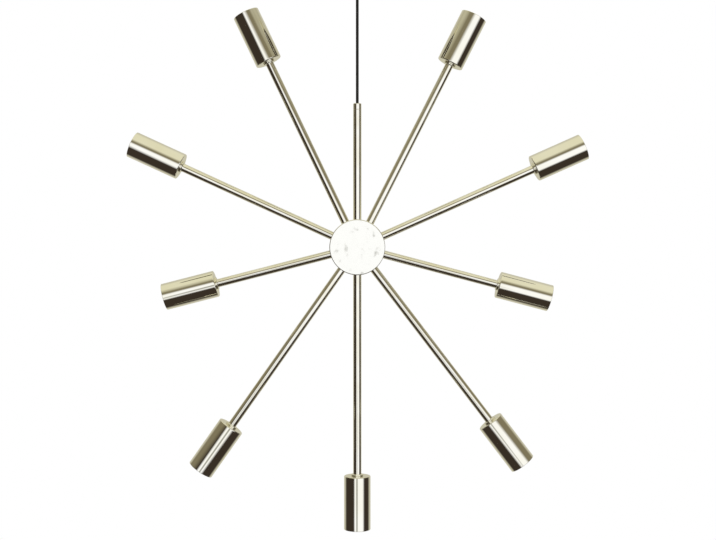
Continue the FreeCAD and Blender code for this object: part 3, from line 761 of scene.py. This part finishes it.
@dataclass
class Studio:
    """White surroundings, the cards that the metal shows, a soft key light and the camera."""

    hub_z: float
    distance: float = 1.8
    lens: float = 58.4
    drop: float = 0.035
    aside: float = 0.0011

    def world(self) -> None:
        """White to the camera and in reflections, a little softer as a light."""
        world = bpy.data.worlds.new("studio")
        bpy.context.scene.world = world
        world.use_nodes = True
        tree = world.node_tree
        background = tree.nodes["Background"]
        background.inputs["Color"].default_value = linear("#FFFFFF")
        path = add_node(tree, "ShaderNodeLightPath")
        seen = add_node(tree, "ShaderNodeMath", {"operation": "MAXIMUM"},
                        {0: path.outputs["Is Camera Ray"], 1: path.outputs["Is Glossy Ray"]})
        shown = add_node(tree, "ShaderNodeMath", {"operation": "MAXIMUM"},
                         {0: seen.outputs[0], 1: path.outputs["Is Transmission Ray"]})
        level = add_node(tree, "ShaderNodeMapRange", None,
                         {"Value": shown.outputs[0], "To Min": 0.95, "To Max": 1.0})
        tree.links.new(level.outputs[0], background.inputs["Strength"])

    def card_look(self) -> bpy.types.Material:
        """Glow of the cards by direction from the lamp.

        With e the height of the unit direction, the front shows a white screen from about 17
        degrees below to 9 above level, with a grey patch where the camera stands, then an olive
        gap and a cream ceiling; the sides are dark below and cream above; the back is pale beige.
        """
        material = bpy.data.materials.new("card_look")
        material.use_nodes = True
        tree = material.node_tree
        tree.nodes.remove(tree.nodes["Principled BSDF"])
        place = add_node(tree, "ShaderNodeTexCoord")
        unit = add_node(tree, "ShaderNodeVectorMath", {"operation": "NORMALIZE"},
                        {0: place.outputs["Object"]})
        axes = add_node(tree, "ShaderNodeSeparateXYZ", None, {0: unit.outputs[0]})
        height = between(tree, axes.outputs["Z"], 0, 1, -1, 1)
        front = add_node(tree, "ShaderNodeValToRGB", None, {0: height})
        set_ramp(front, [(0, Tone.DARK), (0.235, Tone.DARK), (0.315, Tone.SCREEN), (0.575, Tone.SCREEN),
                         (0.67, Tone.OLIVE), (0.74, Tone.OLIVE), (0.86, Tone.CREAM), (1, Tone.CREAM)])
        side = add_node(tree, "ShaderNodeValToRGB", None, {0: height})
        set_ramp(side, [(0, Tone.DARK), (0.55, Tone.DARK), (0.68, Tone.OLIVE), (0.76, Tone.OLIVE),
                        (0.9, Tone.CREAM), (1, Tone.CREAM)])
        ahead = add_node(tree, "ShaderNodeMath", {"operation": "MULTIPLY"}, {0: axes.outputs["Y"], 1: -1.0})
        turn = add_node(tree, "ShaderNodeMath", {"operation": "ARCTAN2"},
                        {0: axes.outputs["X"], 1: ahead.outputs[0]})
        left = between(tree, turn.outputs[0], 0, 1, math.radians(-31), math.radians(-19))
        right = between(tree, turn.outputs[0], 1, 0, math.radians(47), math.radians(64))
        window = add_node(tree, "ShaderNodeMath", {"operation": "MULTIPLY"}, {0: left, 1: right})
        rounding = add_node(tree, "ShaderNodeMix", {"data_type": "RGBA"},
                            {0: window.outputs[0], 6: side.outputs[0], 7: front.outputs[0]})
        straight = add_node(tree, "ShaderNodeVectorMath", {"operation": "DOT_PRODUCT"},
                            {0: unit.outputs[0], 1: (-0.05, -0.977, -0.207)})
        lens = between(tree, straight.outputs["Value"], 0, 1, math.cos(math.radians(9)),
                       math.cos(math.radians(3)))
        shaded = add_node(tree, "ShaderNodeMix", {"data_type": "RGBA"},
                          {0: lens, 6: rounding.outputs[2], 7: linear(Tone.GREY.value)})
        rear = between(tree, axes.outputs["Y"], 0, 1, 0.3, 0.7)
        whole = add_node(tree, "ShaderNodeMix", {"data_type": "RGBA"},
                         {0: rear, 6: shaded.outputs[2], 7: linear(Tone.BEIGE.value)})
        glow = add_node(tree, "ShaderNodeEmission", None, {"Color": whole.outputs[2]})
        tree.links.new(glow.outputs[0], tree.nodes["Material Output"].inputs["Surface"])
        material.cycles.emission_sampling = "NONE"
        return material

    def cards(self) -> bpy.types.Object:
        """Sphere of cards all round the lamp, which only reflections see."""
        mesh = bpy.data.meshes.new("studio_cards")
        work = bmesh.new()
        bmesh.ops.create_uvsphere(work, u_segments=96, v_segments=48, radius=CARD_RADIUS)
        work.to_mesh(mesh)
        work.free()
        mesh.materials.append(self.card_look())
        cards = bpy.data.objects.new("studio_cards", mesh)
        cards.location = (0, 0, self.hub_z)
        for flag in ("camera", "diffuse", "transmission", "volume_scatter", "shadow"):
            setattr(cards, f"visible_{flag}", False)
        return cards

    def floor(self) -> bpy.types.Object:
        """Pale round floor well below the lamp."""
        turn = np.linspace(0, 2 * np.pi, 96, endpoint=False)
        rim = np.stack([FLOOR_RADIUS * np.cos(turn), FLOOR_RADIUS * np.sin(turn),
                        0 * turn + self.hub_z - FLOOR_DEPTH], -1)
        mesh = bpy.data.meshes.new("studio_floor")
        mesh.from_pydata(rim.tolist(), [], [tuple(range(96))])
        look = bpy.data.materials.new("floor_look")
        look.use_nodes = True
        shader = look.node_tree.nodes["Principled BSDF"]
        shader.inputs["Base Color"].default_value = linear("#FFFFFF")
        shader.inputs["Roughness"].default_value = 0.8
        mesh.materials.append(look)
        floor = bpy.data.objects.new("studio_floor", mesh)
        floor.visible_glossy = False
        return floor

    def key(self) -> bpy.types.Object:
        """Large soft light in front, above and to the right."""
        data = bpy.data.lights.new("studio_key", "AREA")
        data.shape = "RECTANGLE"
        data.size, data.size_y, data.energy = 2.2, 1.6, 60
        lamp = bpy.data.objects.new("studio_key", data)
        lamp.location = (1.4, -2.4, self.hub_z + 1.2)
        lamp.rotation_euler = (math.radians(64), 0, math.radians(30))
        lamp.visible_glossy = False
        return lamp

    def camera(self) -> bpy.types.Object:
        """Level camera in front of the hub, a little below it."""
        data = bpy.data.cameras.new("studio_camera")
        data.sensor_width = 36
        data.sensor_fit = "HORIZONTAL"
        data.lens = self.lens
        data.clip_end = 100
        camera = bpy.data.objects.new("studio_camera", data)
        camera.location = (self.aside, -self.distance, self.hub_z - self.drop)
        camera.rotation_euler = (math.radians(90), 0, 0)
        return camera

    def build(self) -> None:
        """Puts the studio into the scene."""
        self.world()
        pieces = [self.cards(), self.floor(), self.key(), self.camera()]
        for thing in pieces:
            bpy.context.scene.collection.objects.link(thing)
        bpy.context.scene.camera = pieces[3]
        bpy.context.scene.view_settings.view_transform = "Standard"


# the whole


def level(node: str, end: int) -> float:
    """Returns the lowest (0) or highest (1) z of a CAD node."""
    return float(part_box(node)[end][2])


def level_y(node: str) -> float:
    """Returns the greatest y of a CAD node."""
    return float(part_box(node)[1][1])


def read_arms(hub: Hub) -> list[Arm]:
    """Reads each arm's direction and reach from the record's lamp sockets."""
    arms = []
    centre = np.array(hub.axis.origin)
    for mount in frame["record"]["mounts"]:
        if mount["name"].startswith("lamp_socket_"):
            reach = float(np.linalg.norm(np.array(mount["pos_m"]) - centre)) + SOCKET_TO_RIM
            axis = Axis(hub.axis.origin, tuple(mount["axis"]))
            arms.append(Arm(int(mount["name"].rsplit("_", 1)[1]), axis, reach, hub.radius))
    return arms


def dress_cad(looks: dict[str, bpy.types.Material]) -> None:
    """Gives the CAD nodes that stay their finishes."""
    for name, look in looks.items():
        mesh = frame["nodes"][name].data
        mesh.materials.clear()
        mesh.materials.append(look)


def build_lamp(hub: Hub, stem: Stem, looks: dict[str, bpy.types.Material]) -> None:
    """Builds the pieces that ride on the lamp's body."""
    arms = read_arms(hub)
    lamp = Body.LAMP
    piece("hub_puck", hub.body(), looks["hub"], lamp, ["hub_body"])
    piece("hub_back_plate", hub.plate(), looks["plate"], lamp, ["hub_cover"])
    piece("hub_back_screws", hub.screws(), looks["plate"], lamp)
    piece("stem_pipe", stem.tube_skin(), looks["pipe"], lamp, ["stem_tube"])
    piece("stem_cap", stem.cap_skin(), looks["plate"], lamp, ["stem_gland"])
    for arm in arms:
        piece(f"arm_pipe_{arm.number}", arm.tube_skin(), looks["pipe"], lamp,
              [f"arm_tube_{arm.number}"])
        piece(f"lamp_cup_{arm.number}", arm.cup_skin(), looks["plate"], lamp,
              ["lamp_cups"] if arm.number == 1 else [])
        piece(f"cup_collar_{arm.number}", arm.collar_skin(), looks["plate"], lamp)
    piece("porcelain_holders", joined([a.holder_skin() for a in arms]), looks["porcelain"], lamp,
          ["lampholders"])
    piece("screw_shells", joined([a.shell_skin() for a in arms]), looks["brass"], lamp)
    piece("sprung_contacts", joined([a.contact_skin() for a in arms]), looks["brass"], lamp,
          ["centre_contacts"])
    piece("flat_leads", joined([a.lead_skin() for a in arms]), looks["lead"], lamp,
          ["arm_leads"])


def build_ceiling(looks: dict[str, bpy.types.Material]) -> tuple[bpy.types.Object, bpy.types.Object]:
    """Builds the ceiling fitting and returns its canopy and grip."""
    fitting = CeilingFitting(Axis((0, 0, 0), (0, 0, 1)), level("canopy", 0), level("cord_grip", 0),
                             level("cord_grip", 1))
    canopy = piece("canopy_cup", fitting.canopy_skin(), looks["plate"], Body.CEILING, ["canopy"])
    grip = piece("cord_grip_nose", fitting.grip_skin(), looks["plate"], Body.CEILING,
                 ["cord_grip"])
    screws = joined([fitting.screw_skin(side) for side in (1.0, -1.0)])
    piece("canopy_thumb_screws", screws, looks["plate"], Body.CEILING, ["canopy_screws"])
    return canopy, grip


def main() -> None:
    """Builds the chandelier and its studio."""
    logging.basicConfig(level=logging.INFO, format="%(name)s %(message)s")
    finishes = {"plate": NICKEL_PLATE, "pipe": PIPE_PLATE, "hub": HUB_PLATE, "zinc": ZINC_STEEL,
                "jacket": PVC_SHEATH, "lead": PVC_LEAD, "plastic": POLYAMIDE,
                "porcelain": GLAZED_PORCELAIN, "brass": STAMPED_BRASS}
    looks = {name: finish.build() for name, finish in finishes.items()}
    low, high = (np.array(corner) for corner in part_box("hub_body"))
    centre_z = float(low[2] + high[2]) / 2
    hub = Hub(float(high[0]), float(low[1]), level_y("hub_cover"), Axis((0, 0, centre_z), (0, 1, 0)))
    stem = Stem(Axis((0, 0, 0), (0, 0, 1)), level("stem_gland", 1), level("stem_tube", 1),
                level("stem_tube", 0), level("stem_gland", 0))
    dress_cad({"ceiling_bracket": looks["zinc"], "cord_grip_nut": looks["zinc"],
               "cord_stop": looks["zinc"], "mains_terminal_block": looks["plastic"],
               "hub_junction_block": looks["plastic"], "cord_tail": looks["jacket"],
               "cord_bend": looks["jacket"], "stem_cord": looks["jacket"]})
    build_lamp(hub, stem, looks)
    canopy, grip = build_ceiling(looks)
    far_pieces = [canopy, grip, frame["nodes"]["cord_bend"]]
    Flex(level("cord", 0), level("cord", 1)).build(looks["jacket"], far_pieces)
    Studio(centre_z).build()
    bpy.context.view_layer.update()


if __name__ == "__main__":
    main()
